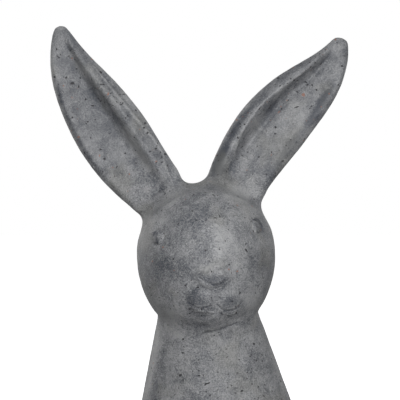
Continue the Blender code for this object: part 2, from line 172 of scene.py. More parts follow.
class Bench:
    """Adds nodes to one node tree and links them."""

    def __init__(self, tree: bpy.types.NodeTree) -> None:
        """Empties the tree."""
        self.tree = tree
        self.tree.nodes.clear()

    def add(
        self, kind: str, settings: dict[str, object], values: dict[int | str, object], output: int | str = 0
    ) -> Wire:
        """Adds one node.

        Args:
            kind: The node's type.
            settings: What is set on the node itself, before its sockets.
            values: A number, colour or wire for each of its sockets, by place or name.
            output: The output that goes on.

        Returns:
            The wire from that output.
        """
        node = self.tree.nodes.new(kind)
        for name, value in settings.items():
            setattr(node, name, value)
        for name, value in values.items():
            if isinstance(value, Wire):
                self.tree.links.new(value.socket, node.inputs[name])
            else:
                node.inputs[name].default_value = value
        return Wire(self, node.outputs[output] if len(node.outputs) else None)

    def place(self) -> Wire:
        """The piece's own coordinates, in metres."""
        return self.add("ShaderNodeTexCoord", {}, {}, "Object")

    def attribute(self, name: str) -> Wire:
        """A number kept at each corner of the mesh."""
        return self.add("ShaderNodeAttribute", {"attribute_name": name}, {}, "Fac")

    def cloud(self, place: Wire, cloud: Cloud) -> Wire:
        """A cloudy pattern.

        Args:
            place: The coordinates it is laid on.
            cloud: Its sizes.

        Returns:
            A value around 0.
        """
        values = {"Vector": place, "Scale": 1 / cloud.size}
        values |= {"Detail": cloud.detail, "Roughness": cloud.rough}
        return self.add("ShaderNodeTexNoise", {}, values) - NOISE_MIDDLE

    def dots(self, place: Wire, dots: Dots) -> Wire:
        """Scattered round dots.

        Args:
            place: The coordinates they are laid on.
            dots: Their sizes.

        Returns:
            1 inside a dot and 0 outside.
        """
        values = {"Vector": place, "Scale": 1 / dots.spacing, "Randomness": 1.0}
        near = self.add("ShaderNodeTexVoronoi", {}, values, "Distance")
        cell = self.add("ShaderNodeTexVoronoi", {}, values, "Color")
        luck = self.add("ShaderNodeSeparateColor", {}, {"Color": cell}, "Red")
        largest = dots.radius / dots.spacing
        reach = largest * (luck - (1 - dots.share)).rise(0.0, dots.share)
        return (near - reach).rise(0.0, -DOT_EDGE * largest)

    def paint(self, share: Wire, under: Wire | Colour, over: Wire | Colour) -> Wire:
        """One colour laid over another.

        Args:
            share: How much of the upper colour shows.
            under: The lower colour.
            over: The upper colour.

        Returns:
            The mixed colour.
        """
        under, over = (c if isinstance(c, Wire) else (*c, 1.0) for c in (under, over))
        return self.add("ShaderNodeMix", {"data_type": "RGBA"}, {0: share, 6: under, 7: over}, 2)


@dataclass(frozen=True)
class CementFinish:
    """Weathered grey cement: cloudy and speckled, with pinholes, mineral dust and a few rust specks, and with
    painted light and shade: near-black in the pinholes and pits, a painted highlight on crests, painted shade
    in hollows and the lighter and darker tones of the strokes and patches.
    """

    dark: Colour = (0.058, 0.064, 0.077)
    light: Colour = (0.319, 0.322, 0.328)
    dust: Colour = (0.400, 0.400, 0.395)
    olive: Colour = (0.190, 0.186, 0.160)
    # Near-black painted shade inside the pinholes and pits.
    hole_shade: Colour = (0.030, 0.030, 0.033)
    rust: Colour = (0.260, 0.115, 0.075)
    swatch: Colour = (0.19, 0.19, 0.20)
    tone_range: tuple[float, float] = (-0.62, 0.64)
    casting: tuple[Cloud, Cloud] = (Cloud(0.034), Cloud(0.013, 3.0, 0.6))
    casting_tone: float = 0.88
    mottle: Cloud = Cloud(0.0052, 3.0, 0.65)
    mottle_tone: float = 0.8
    grain: Cloud = Cloud(0.0013, 2.0, 0.7)
    grain_tone: float = 1.9
    # How strongly the tones of strokes, patches and relief, mostly painted light and shade, show in the
    # colour.
    painted_light_and_stain_tone: float = 1.2
    # A painted highlight with edge wear on crests and painted shade with dirt in hollows.
    crest_wear_and_highlight: float = 0.06
    hollow_dirt_and_shade: float = 0.12
    ear_start: float = 0.235
    ear_full: float = 0.270
    ear_mottle: float = 0.65
    ear_grain: float = 0.60
    olive_cloud: Cloud = Cloud(0.05)
    olive_range: tuple[float, float] = (0.02, 0.16)
    olive_share: float = 0.28
    dusty_cloud: Cloud = Cloud(0.009)
    # How much the painted light and the stains draw the dust.
    dust_by_painted_light: float = 0.5
    dusty_range: tuple[float, float] = (-0.08, 0.12)
    dust_cloud: Cloud = Cloud(0.0021, 2.0, 0.7)
    dust_range: tuple[float, float] = (0.04, 0.18)
    dust_share: float = 0.55
    small_holes: Dots = Dots(0.0044, 0.0011, 0.4)
    large_holes: Dots = Dots(0.0090, 0.0014, 0.4)
    ear_holes: Dots = Dots(0.0052, 0.0014, 0.5)
    hole_share: float = 0.9
    pit_share: float = 0.9
    rust_specks: Dots = Dots(0.011, 0.0014, 0.5)
    ear_rust_specks: Dots = Dots(0.0070, 0.0016, 0.5)
    rust_share: float = 0.8
    roughness: float = 0.52
    mottle_roughness: float = 0.3
    dust_roughness: float = 0.25
    hole_roughness: float = 0.25
    specular: float = 0.5
    bump_height: float = 0.0006
    mottle_bump: float = 0.4
    grain_bump: float = 0.7
    dust_bump: float = 0.4
    hole_bump: float = 1.2
    warp_scale: float = 60.0
    warp_reach: float = 0.014

    def make(self) -> bpy.types.Material:
        """Makes the material.

        Returns:
            The cement, laid on the piece's own coordinates.
        """
        material = bpy.data.materials.new("weathered_cement")
        material.use_nodes = True
        material.diffuse_color = (*self.swatch, 1.0)
        bench = Bench(material.node_tree)
        place = self.warp(bench, bench.place())
        above = bench.add("ShaderNodeSeparateXYZ", {}, {"Vector": place}, "Z")
        ears = above.rise(self.ear_start, self.ear_full)
        mottle = bench.cloud(place, self.mottle) * (1 - (1 - self.ear_mottle) * ears)
        grain = bench.cloud(place, self.grain) * (1 - (1 - self.ear_grain) * ears)
        # The tones of strokes, patches and relief paint light and shade into the colour and the dust, with
        # the cement's own stains and wear.
        painted_light_and_stain = self.painted_light_and_stain(bench)
        dust = self.dusting(bench, place, painted_light_and_stain)
        holes = self.holes(bench, place, ears)
        colour = self.cement(bench, place, mottle * self.mottle_tone + grain * self.grain_tone, painted_light_and_stain)
        colour = bench.paint(dust * self.dust_share, colour, self.dust)
        # Near-black painted shade inside the pinholes and pits.
        colour = bench.paint(holes * self.hole_share, colour, self.hole_shade)
        colour = bench.paint(self.rusting(bench, place, ears), colour, self.rust)
        rough = mottle * self.mottle_roughness + dust * self.dust_roughness + holes * self.hole_roughness
        height = mottle * self.mottle_bump + grain * self.grain_bump + dust * self.dust_bump
        height = height - holes * self.hole_bump
        values = {"Strength": 1.0, "Distance": self.bump_height, "Height": height}
        normal = bench.add("ShaderNodeBump", {}, values)
        values = {"Base Color": colour, "Roughness": self.roughness + rough, "Normal": normal}
        values |= {"Specular IOR Level": self.specular}
        shader = bench.add("ShaderNodeBsdfPrincipled", {}, values)
        bench.add("ShaderNodeOutputMaterial", {}, {"Surface": shader})
        return material

    def painted_light_and_stain(self, bench: Bench) -> Wire:
        """The painted light and shade of the carving with its stains: the tones of strokes and patches, a
        painted highlight with edge wear on crests and painted shade with dirt in hollows.

        Args:
            bench: Where the nodes go.

        Returns:
            A value around 0, higher where the cement is lighter.
        """
        relief = bench.attribute("relief")
        # Painted highlight with edge wear on crests, painted shade with dirt in hollows.
        crests = relief.at_least(0.0) * self.crest_wear_and_highlight
        return bench.attribute("stain_and_painted_light") + crests + relief.at_most(0.0) * self.hollow_dirt_and_shade

    def cement(self, bench: Bench, place: Wire, fine: Wire, painted_light_and_stain: Wire) -> Wire:
        """The bare cement's colour.

        Args:
            bench: Where the nodes go.
            place: The coordinates.
            fine: The tone of its mottle and grain.
            painted_light_and_stain: The painted light and shade of the carving, with its stains.

        Returns:
            The colour, from dark to light, with an olive tinge in places.
        """
        broad, small = (bench.cloud(place, cloud) * self.casting_tone for cloud in self.casting)
        worn = broad + small + fine + painted_light_and_stain * self.painted_light_and_stain_tone
        colour = bench.paint(worn.rise(*self.tone_range), self.dark, self.light)
        olive = bench.cloud(place, self.olive_cloud).rise(*self.olive_range)
        return bench.paint(olive * self.olive_share, colour, self.olive)

    def dusting(self, bench: Bench, place: Wire, painted_light_and_stain: Wire) -> Wire:
        """Where pale mineral dust lies, more of it where the painted light and the stains are lighter.

        Args:
            bench: Where the nodes go.
            place: The coordinates.
            painted_light_and_stain: The painted light and shade of the carving, with its stains.

        Returns:
            1 where dust lies and 0 elsewhere.
        """
        # The dust follows the painted light too, and gathers where it is lighter.
        dusty = (bench.cloud(place, self.dusty_cloud) + painted_light_and_stain * self.dust_by_painted_light).rise(*self.dusty_range)
        return bench.cloud(place, self.dust_cloud).rise(*self.dust_range) * dusty

    def holes(self, bench: Bench, place: Wire, ears: Wire) -> Wire:
        """Where pinholes and pits are.

        Args:
            bench: Where the nodes go.
            place: The coordinates.
            ears: 1 on the ears and 0 below them.

        Returns:
            1 inside a pinhole and 0 elsewhere.
        """
        skin = bench.dots(place, self.small_holes).at_least(bench.dots(place, self.large_holes))
        on_ears = bench.dots(place, self.ear_holes) * ears
        return skin.at_least(on_ears).at_least(bench.attribute("pit") * self.pit_share)

    def rusting(self, bench: Bench, place: Wire, ears: Wire) -> Wire:
        """Where rust specks are.

        Args:
            bench: Where the nodes go.
            place: The coordinates.
            ears: 1 on the ears and 0 below them.

        Returns:
            How much of the rust shows.
        """
        on_ears = bench.dots(place, self.ear_rust_specks) * ears
        return bench.dots(place, self.rust_specks).at_least(on_ears) * self.rust_share

    def warp(self, bench: Bench, place: Wire) -> Wire:
        """Pushes the coordinates about, so that no cloud is round.

        Args:
            bench: Where the nodes go.
            place: The coordinates.

        Returns:
            The moved coordinates.
        """
        values = {"Vector": place, "Scale": self.warp_scale, "Detail": 2.0}
        push = bench.add("ShaderNodeTexNoise", {}, values, "Color")
        middle = (NOISE_MIDDLE, NOISE_MIDDLE, NOISE_MIDDLE)
        push = bench.add("ShaderNodeVectorMath", {"operation": "SUBTRACT"}, {0: push, 1: middle})
        values = {0: push, "Scale": self.warp_reach}
        push = bench.add("ShaderNodeVectorMath", {"operation": "SCALE"}, values)
        return bench.add("ShaderNodeVectorMath", {"operation": "ADD"}, {0: place, 1: push})


@dataclass(frozen=True)
class FrontView:
    """The view that the rabbit is matched from: almost level, straight in front and far off."""

    middle: float = -0.0186
    height: float = 0.225
    depth: float = -0.022
    distance: float = 3.0
    elevation: float = math.radians(2.0)
    width: float = 0.4

    def eye(self) -> Vector:
        """Where the camera stands."""
        back, up = math.cos(self.elevation), math.sin(self.elevation)
        return Vector((self.middle, self.depth - self.distance * back, self.height + self.distance * up))

    def seen(self, points: np.ndarray) -> np.ndarray:
        """Where points show in the view.

        Args:
            points: Rows of x, y and z.

        Returns:
            Rows of the place right of the middle and above the underside, in millimetres.
        """
        back, up = math.cos(self.elevation), math.sin(self.elevation)
        away = points - np.array(self.eye())
        scale = self.distance / (away @ np.array([0.0, back, -up]))
        right = away[:, 0] * scale + self.middle
        above = (away @ np.array([0.0, up, back])) * scale + self.height
        return np.stack([right, above], 1) / MM


@dataclass(frozen=True)
class Stroke:
    """A line carved or raised with one pass of the tool, thinning towards its ends. Its shade is painted
    light and shade along the line: darker where shade falls, lighter where light falls.
    """

    name: str
    path: tuple[Point, ...]
    half_width: float
    height: float
    cut: Cut = Cut.ROUND
    shade: float = 0.0
    end_width: float = 0.45
    end_height: float = 0.35
    widening: float = 5.0
    deepening: float = 6.0

    def curve(self) -> np.ndarray:
        """Rounds the path off.

        Returns:
            The path as rows of points, short steps apart.
        """
        stops = np.array(self.path, float)
        ends = np.vstack([2 * stops[0] - stops[1], stops, 2 * stops[-1] - stops[-2]])
        rows = []
        for before, first, last, after in zip(ends, ends[1:], ends[2:], ends[3:]):
            for t in np.arange(0.0, 1.0, CURVE_STEP):
                slope = (last - before) * t + (2 * before - 5 * first + 4 * last - after) * t**2
                rows.append(first + 0.5 * (slope + (3 * first - before - 3 * last + after) * t**3))
        return np.array([*rows, stops[-1]])

    def distance(self, seen: np.ndarray) -> tuple[np.ndarray, np.ndarray]:
        """How far points are from the path.

        Args:
            seen: Where the points show from the front, in millimetres.

        Returns:
            Their distance to the path in millimetres, and how far from its ends that is, as a share of it.
        """
        path = self.curve()
        steps = np.linalg.norm(np.diff(path, axis=0), axis=1)
        starts = np.concatenate([[0.0], np.cumsum(steps)])
        best = np.full(len(seen), np.inf)
        along = np.zeros(len(seen))
        for a, b, step, start in zip(path, path[1:], steps, starts):
            t = np.clip((seen - a) @ (b - a) / step**2, 0.0, 1.0)
            off = np.linalg.norm(seen - a - t[:, None] * (b - a), axis=1)
            along = np.where(off < best, start + t * step, along)
            best = np.minimum(best, off)
        return best, np.minimum(along, starts[-1] - along) / starts[-1]

    def share(self, seen: np.ndarray) -> np.ndarray:
        """How much of the tool's height each point gets.

        Args:
            seen: Where the points show from the front, in millimetres.

        Returns:
            A share from 0 to 1 for each point.
        """
        best, ends = self.distance(seen)
        full = np.clip(ends * self.widening, 0, 1)
        reach = self.half_width * (self.end_width + (1 - self.end_width) * full)
        x = np.clip(1 - best / reach, 0, 1)
        x = x if self.cut is Cut.SHARP else x * x * (3 - 2 * x)
        return x * np.clip(self.end_height + ends * self.deepening, 0, 1)


@dataclass(frozen=True)
class StainAndPaintedLight:
    """A soft patch that is darker or lighter than the cement around it: mostly painted light and shade,
    lighter where light falls fuller and darker where shade falls, and in a few places the cement's own
    stains.
    """

    name: str
    middle: Point
    half_size: Point
    turn: float
    tone: float
    fall: float = 1.6
    fullness: float = 1.3

    def share(self, seen: np.ndarray) -> np.ndarray:
        """How much of the stain each point gets.

        Args:
            seen: Where the points show from the front, in millimetres.

        Returns:
            A share from 0 to 1 for each point.
        """
        c, s = math.cos(math.radians(self.turn)), math.sin(math.radians(self.turn))
        off = (seen - np.array(self.middle)) @ np.array([[c, -s], [s, c]]) / np.array(self.half_size)
        return np.exp(-self.fall * (off**2).sum(1) ** self.fullness)


# Each stroke's shade is painted light and shade: darker in the ear grooves, flanks and outer edges, at the
# eye edges, under the nose, in the lip contours, the chin crease and the left chest band; lighter as painted
# highlights on the ear crests and groove ends, the eye lights and domes, the nose lobes, the lips and the
# left chest edge.
CARVING = (
    Stroke(
        "left ear crest",
        ((-124.6, 359), (-93.6, 320), (-60.6, 280), (-53.6, 260), (-43.6, 235)),
        2.4, 0.8, Cut.ROUND, 0.1,
    ),
    Stroke("left ear lower crest", ((-104, 322), (-80, 292), (-57, 252)), 8.0, 0.0, Cut.ROUND, -0.17),
    Stroke("left ear inner crest", ((-112, 336), (-101, 321), (-92, 307)), 1.4, 0.3, Cut.ROUND, 0.06),
    Stroke(
        "left ear groove",
        ((-127, 341), (-117.6, 330), (-107.6, 315), (-97.6, 300), (-90.6, 287)),
        2.4, -0.4, Cut.SHARP, -0.06,
    ),
    Stroke("left ear groove head", ((-150, 374), (-141, 362), (-131, 347)), 6.0, 0.0, Cut.ROUND, 0.36),
    Stroke("left ear groove foot", ((-96, 298), (-79, 270), (-67, 250)), 6.5, 0.0, Cut.ROUND, 0.36),
    Stroke(
        "left ear shade",
        ((-137, 352), (-121, 331), (-110, 315), (-100, 300), (-92, 285)),
        8.0, 0.0, Cut.ROUND, 0.05,
    ),
    Stroke(
        "left ear outer edge",
        ((-161.6, 345), (-158.6, 330), (-153.6, 315), (-147.6, 300), (-131.6, 270), (-118.6, 255)),
        3.5, 0.0, Cut.ROUND, -0.25,
    ),
    Stroke(
        "right ear crest",
        ((92.4, 359), (63, 337), (45.2, 323), (31.1, 305), (19.7, 285), (14.4, 264)),
        2.4, 0.8, Cut.ROUND, 0.1,
    ),
    Stroke(
        "right ear upper flank",
        ((98, 369), (70, 350), (48, 333), (32, 314)),
        10.0, 0.0, Cut.ROUND, -0.22,
    ),
    Stroke(
        "right ear groove",
        ((98, 359), (79.4, 345), (64.4, 330), (52.4, 315)),
        3.0, -0.7, Cut.SHARP, -0.05,
    ),
    Stroke("right ear groove foot", ((47, 315), (35, 298), (27, 284)), 6.0, 0.0, Cut.ROUND, 0.16),
    Stroke("right ear shade", ((102, 360), (82, 343), (66, 327), (50, 312)), 8.0, 0.0, Cut.ROUND, 0.12),
    Stroke(
        "right ear inner flank",
        ((34, 320), (18.4, 300), (10.4, 285), (3.4, 270), (-3.6, 255)),
        6.0, 0.0, Cut.ROUND, -0.44,
    ),
    Stroke(
        "right ear outer edge",
        ((117, 340), (107.4, 330), (98.4, 315), (88.4, 300), (76.4, 285), (65.4, 270), (54, 256)),
        6.5, 0.0, Cut.ROUND, -0.50,
    ),
    Stroke("right ear dent", ((103, 336), (110, 334), (115, 329)), 3.0, -0.5, Cut.ROUND, -0.14),
    Stroke("right ear dent edge", ((106, 338), (113, 335.5)), 1.3, 0.3, Cut.ROUND, 0.14),
    Stroke("left nostril", ((-13.5, 157), (-10.5, 154)), 7.0, 1.7, Cut.ROUND, 0.20),
    Stroke("right nostril", ((1.2, 155), (3.2, 149)), 5.0, 1.3, Cut.ROUND, 0.04),
    Stroke("nose notch", ((-5.5, 153), (-4.5, 144)), 2.4, -0.5, Cut.ROUND, -0.07),
    Stroke(
        "nose underside",
        ((-20, 150.5), (-13, 145.5), (-5, 143.4), (4, 143.8), (11, 148)),
        7.5, 0.0, Cut.ROUND, -0.22,
    ),
    Stroke(
        "nose contour",
        ((-21.6, 150), (-14.9, 144), (-4.2, 140.2), (4.1, 141.6), (11.2, 147)),
        2.4, -0.5, Cut.ROUND, 0.0,
    ),
    Stroke(
        "under the nose",
        ((-22, 145.5), (-14.5, 139.6), (-4.2, 135.6), (5, 138)),
        1.8, 0.25, Cut.ROUND, 0.1,
    ),
    Stroke("philtrum", ((-3.4, 136), (-2.9, 128), (-2.7, 120)), 3.4, 0.2, Cut.ROUND, 0.02),
    Stroke(
        "left lip contour",
        ((-31, 124), (-25, 118.5), (-16.6, 116.4), (-6.1, 119.5)),
        1.8, -0.5, Cut.ROUND, -0.06,
    ),
    Stroke(
        "right lip contour",
        ((-2, 121), (3.5, 115.5), (11, 114), (19, 117), (24, 124.5)),
        1.8, -0.6, Cut.ROUND, -0.09,
    ),
    Stroke("lower lip", ((-22, 114), (-12, 113.4), (-3, 112.2)), 1.8, 0.5, Cut.ROUND, 0.14),
    Stroke("right lip edge", ((3, 112.2), (11, 110.4), (20, 113)), 1.5, 0.4, Cut.ROUND, 0.1),
    Stroke("under the lip", ((-17, 107.5), (-6, 108)), 4.0, -0.3, Cut.ROUND, -0.04),
    Stroke("left eye edge", ((-61.2, 193.2), (-63.6, 187.2), (-61.2, 181.2)), 2.6, -0.15, Cut.ROUND, -1.1),
    Stroke("left eye line", ((-62.6, 193.6), (-63.8, 189), (-63.0, 184)), 3.0, 0.0, Cut.ROUND, -0.9),
    Stroke("left eye light", ((-55.4, 194.0), (-54.2, 190.5), (-55.4, 186.0)), 2.4, 0.0, Cut.ROUND, 0.40),
    Stroke("left eye dome", ((-59.3, 189.5), (-59.6, 186)), 3.4, 0.4, Cut.ROUND, 0.08),
    Stroke(
        "right eye edge",
        ((34.4, 205.4), (38.6, 205.2), (42.4, 199.6), (41.2, 193.2)),
        2.1, -0.6, Cut.ROUND, -0.85,
    ),
    Stroke("right eye dome", ((37.0, 202.0), (39.4, 196.0)), 3.2, 0.0, Cut.ROUND, -0.22),
    Stroke("right eye light", ((32.8, 203.0), (33.8, 197.6), (36.2, 192.6)), 2.0, 0.0, Cut.ROUND, 0.40),
    Stroke("right eye corner", ((38.0, 192.8), (41.0, 192.6)), 1.6, -0.4, Cut.ROUND, -0.4),
    Stroke(
        "chin crease",
        ((-19.6, 89.5), (-13, 92.2), (-1.6, 94.4), (4.8, 96.4), (12.8, 99.8), (21.4, 102.4)),
        1.7, -0.8, Cut.SHARP, -0.22,
    ),
    Stroke("left chest band", ((-55, 80), (-58, 55), (-61, 35), (-64, 0)), 8.0, 0.0, Cut.ROUND, -0.28),
    Stroke("left chest edge", ((-62, 92), (-67, 60), (-76, 25), (-81, 0)), 5.5, 0.0, Cut.ROUND, 0.40),
    Stroke("right chest edge", ((48, 70), (56, 45), (66, 15), (71, 0)), 7.0, 0.0, Cut.ROUND, -0.12),
)

# Mostly painted light and shade: lighter on the brows, temples, muzzle, nose ball, right of the nose, jaw,
# throat, chin and chest where light falls fuller, darker on the head's left side, the ear flanks, roots,
# edges and tips where shade falls. The forehead, cheeks and lips also carry the cement's own dark smooth
# patina.
STAINS_AND_PAINTED_LIGHT = (
    StainAndPaintedLight("forehead", (-21.6, 208), (19, 17), 0, -0.14),
    StainAndPaintedLight("left brow", (-48, 226), (17, 9), 35, 0.30),
    StainAndPaintedLight("right brow", (24, 234), (20, 11), -15, 0.46),
    StainAndPaintedLight("left cheek", (-62, 164), (17, 28), 0, -0.20),
    StainAndPaintedLight("right cheek", (48, 163), (11, 28), 0, -0.24),
    # Painted highlight on the muzzle.
    StainAndPaintedLight("muzzle dust", (5, 182), (13, 26), 0, 0.40),
    StainAndPaintedLight("nose ball", (-10.5, 157), (7, 4.5), 0, 0.20),
    StainAndPaintedLight("nose shadow", (-4, 146), (11, 5), 0, -0.26),
    StainAndPaintedLight("left of the nose", (-32, 156), (11, 18), 0, -0.08),
    StainAndPaintedLight("right of the nose", (20, 160), (14, 20), 0, 0.26),
    StainAndPaintedLight("left temple", (-76, 218), (14, 9), 30, 0.20),
    StainAndPaintedLight("left side of the head", (-74, 188), (8, 30), 0, -0.27),
    StainAndPaintedLight("right temple", (30, 212), (12, 10), 0, 0.14),
    StainAndPaintedLight("right jaw", (33, 122), (13, 15), 0, 0.30),
    StainAndPaintedLight("left lip", (-21, 128), (14, 11), 0, -0.38),
    StainAndPaintedLight("right lip", (12, 125), (10, 7), 0, -0.38),
    StainAndPaintedLight("left chin", (-47, 107), (24, 10), 0, 0.28),
    StainAndPaintedLight("right chin", (22, 107), (14, 8), 0, 0.20),
    StainAndPaintedLight("upper chest", (-2, 81), (48, 18), 0, 0.20),
    StainAndPaintedLight("throat", (-42, 94), (22, 9), 0, 0.34),
    StainAndPaintedLight("right throat", (22, 94), (14, 7), 0, 0.16),
    StainAndPaintedLight("chest", (-16, 58), (34, 20), 0, 0.04),
    StainAndPaintedLight("right chest", (42, 36), (14, 18), 0, 0.16),
    StainAndPaintedLight("left ear floor", (-118, 292), (15, 40), 30, -0.17),
    StainAndPaintedLight("right ear floor", (72, 310), (14, 26), -40, 0.12),
    StainAndPaintedLight("left ear outer floor", (-138, 298), (8, 24), 25, -0.20),
    StainAndPaintedLight("left ear outer root", (-110, 256), (13, 11), 30, -0.14),
    StainAndPaintedLight("right ear outer floor", (97, 308), (8, 16), -40, -0.18),
    StainAndPaintedLight("right ear inner edge", (16, 290), (6, 10), -30, -0.16),
    StainAndPaintedLight("left ear tip", (-153, 364), (12, 17), 10, -0.15),
    StainAndPaintedLight("right ear tip", (124, 370), (16, 12), 40, -0.22),
    StainAndPaintedLight("right ear root", (28, 266), (10, 22), -30, 0.22),
    StainAndPaintedLight("right ear lower flank", (5, 265), (7, 17), -25, -0.26),
    StainAndPaintedLight("right ear root shadow", (0, 256), (9, 13), -20, -0.46),
    StainAndPaintedLight("right ear outer root", (52, 251), (8, 10), -20, -0.20),
)


@dataclass
class CementRabbit:
    """The bust as one cast piece, with the fine relief of its carving and casting."""

    view: FrontView
    weld: float = 1e-6
    quad_angle: float = math.radians(50)
    flatness: float = 0.9
    foot_slack: float = 0.0001
    smooth_levels: int = 2
    cage_rounds: int = 2
    coarse_width: float = 2.5
    swell_size: float = 0.030
    swell_height: float = 0.0007
    ripple_size: float = 0.008
    ripple_height: float = 0.00035
    foot_height: float = 0.006
    chest_foot: float = 0.018
    chest_top: float = 0.085
    steepness: float = 0.8
    stroke_margin: float = 0.2
    front_rise: float = 3.0
    pit_count: int = 260
    pit_rim: float = 0.00050
    pit_depth: float = 0.0007
    pit_areas: tuple[float, float] = (1.5, 4.0)
    face_height: tuple[float, float] = (0.09, 0.25)
    face_pits: float = 0.45
    near_rounds: int = 6
    wide_rounds: int = 60
    fine_relief: float = 0.00014
    broad_relief: float = 0.0009
    broad_share: float = 0.2
    seed: int = 11

    def build(self) -> bpy.types.Object:
        """Makes the finished piece.

        Returns:
            The bust, in the place of its solid.
        """
        piece = self.copy_solid("cement_rabbit")
        self.close_foot(piece)
        self.round_out(piece)
        self.even_net(piece)
        self.refine(piece)
        self.wave(piece)
        self.carve(piece)
        self.press_pits(piece)
        self.keep_relief(piece)
        self.keep_inside(piece)
        self.dress(piece)
        return piece

    def copy_solid(self, name: str) -> bpy.types.Object:
        """Copies the solid's mesh and welds its loose triangles into quads.

        Args:
            name: The new piece's name.

        Returns:
            The new piece.
        """
        bpy.ops.object.select_all(action="DESELECT")
        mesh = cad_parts["rabbit_bust"].data.copy()
        mesh.materials.clear()
        piece = bpy.data.objects.new(name, mesh)
        bpy.context.scene.collection.objects.link(piece)
        bpy.context.view_layer.objects.active = piece
        piece.select_set(True)
        bpy.ops.mesh.customdata_custom_splitnormals_clear()
        bpy.ops.object.mode_set(mode="EDIT")
        bpy.ops.mesh.select_all(action="SELECT")
        bpy.ops.mesh.remove_doubles(threshold=self.weld)
        bpy.ops.mesh.tris_convert_to_quads(face_threshold=self.quad_angle, shape_threshold=self.quad_angle)
        bpy.ops.object.mode_set(mode="OBJECT")
        return piece

    def close_foot(self, piece: bpy.types.Object) -> None:
        """Makes the underside one flat face with a firm rim.

        Args:
            piece: The bust.
        """
        bpy.ops.object.mode_set(mode="EDIT")
        bpy.ops.mesh.select_mode(type="FACE")
        bpy.ops.mesh.select_all(action="DESELECT")
        bpy.ops.object.mode_set(mode="OBJECT")
        for face in piece.data.polygons:
            face.select = face.center.z < self.foot_slack and face.normal.z < -self.flatness
        bpy.ops.object.mode_set(mode="EDIT")
        bpy.ops.mesh.dissolve_faces()
        bpy.ops.transform.edge_crease(value=1.0)
        bpy.ops.object.mode_set(mode="OBJECT")

    def round_out(self, piece: bpy.types.Object) -> None:
        """Rounds the facets off, with the smooth surface kept on the solid's own corners.

        Args:
            piece: The bust.
        """
        rounding = piece.modifiers.new("rounding", "SUBSURF")
        rounding.levels = rounding.render_levels = self.smooth_levels
        corners = points_of(piece.data)
        cage = corners.copy()
        for _ in range(self.cage_rounds):
            bpy.context.view_layer.update()
            graph = bpy.context.evaluated_depsgraph_get()
            smooth = points_of(piece.evaluated_get(graph).data)[: len(corners)]
            LOG.info("  off the solid's corners by %.2f mm", np.abs(smooth - corners).max() / MM)
            cage += corners - smooth
            put_points(piece.data, cage)
        bpy.ops.object.modifier_apply(modifier=rounding.name)
        bpy.ops.object.shade_smooth()

    def even_net(self, piece: bpy.types.Object) -> None:
        """Halves the long edges of the neck and chest, so that their net is about square.

        Args:
            piece: The bust.
        """
        mesh = piece.data
        points = points_of(mesh)
        bpy.ops.object.mode_set(mode="EDIT")
        bpy.ops.mesh.select_mode(type="EDGE")
        bpy.ops.mesh.select_all(action="DESELECT")
        bpy.ops.object.mode_set(mode="OBJECT")
        for edge in mesh.edges:
            low, high = sorted(points[list(edge.vertices)].tolist(), key=lambda point: point[2])
            steep = high[2] - low[2] > self.steepness * math.dist(low, high)
            edge.select = self.chest_foot < low[2] and steep and high[2] < self.chest_top
        bpy.ops.object.mode_set(mode="EDIT")
        bpy.ops.mesh.subdivide(number_cuts=1)
        bpy.ops.mesh.select_mode(type="FACE")
        bpy.ops.object.mode_set(mode="OBJECT")

    def refine(self, piece: bpy.types.Object) -> None:
        """Halves the net where a narrow stroke runs.

        Args:
            piece: The bust.
        """
        mesh = piece.data
        points, normals = points_of(mesh), normals_of(mesh)
        seen = self.view.seen(points)
        near, front = np.zeros(len(points), bool), normals[:, 1] < 0
        for stroke in CARVING:
            if stroke.height and stroke.half_width < self.coarse_width:
                near |= (stroke.distance(seen)[0] < stroke.half_width + self.stroke_margin) & front
        bpy.ops.object.mode_set(mode="EDIT")
        bpy.ops.mesh.select_all(action="DESELECT")
        bpy.ops.object.mode_set(mode="OBJECT")
        for face in mesh.polygons:
            face.select = bool(near[list(face.vertices)].all())
        bpy.ops.object.mode_set(mode="EDIT")
        bpy.ops.mesh.subdivide(number_cuts=1)
        bpy.ops.object.mode_set(mode="OBJECT")

    def wave(self, piece: bpy.types.Object) -> None:
        """Gives the skin the slight swells and ripples of a hand-made mould.

        Args:
            piece: The bust.
        """
        above = piece.vertex_groups.new(name="above_foot")
        heights = points_of(piece.data)[:, 2]
        for index in np.flatnonzero(heights > self.foot_height):
            above.add([int(index)], 1.0, "REPLACE")
        for name, size, height in (
            ("swells", self.swell_size, self.swell_height),
            ("ripples", self.ripple_size, self.ripple_height),
        ):
            clouds = bpy.data.textures.new(name, "CLOUDS")
            clouds.noise_scale = size
            waves = piece.modifiers.new(name, "DISPLACE")
            waves.texture = clouds
            waves.texture_coords = "LOCAL"
            waves.strength = height
            waves.mid_level = NOISE_MIDDLE
            waves.vertex_group = above.name
            bpy.ops.object.modifier_apply(modifier=waves.name)

    def carve(self, piece: bpy.types.Object) -> None:
        """Runs the carving strokes over the front and keeps the tone of the strokes and patches: painted
        light and shade, with the cement's own stains.

        Args:
            piece: The bust.
        """
        points, normals = points_of(piece.data), normals_of(piece.data)
        seen = self.view.seen(points)
        facing = np.clip(-normals[:, 1] * self.front_rise, 0, 1)
        moved = np.zeros(len(points))
        tone = np.zeros(len(points))
        for stroke in CARVING:
            share = stroke.share(seen) * facing
            moved += share * stroke.height * MM
            # The stroke's shade: painted shade along grooves, creases and shaded flanks, painted highlight
            # where light falls.
            tone += share * stroke.shade
        # Patches: mostly painted light and shade, with a few stains of the cement's own.
        for stain_and_painted_light in STAINS_AND_PAINTED_LIGHT:
            tone += stain_and_painted_light.share(seen) * facing * stain_and_painted_light.tone
        put_points(piece.data, points + moved[:, None] * normals)
        keep(piece.data, "stain_and_painted_light", tone)

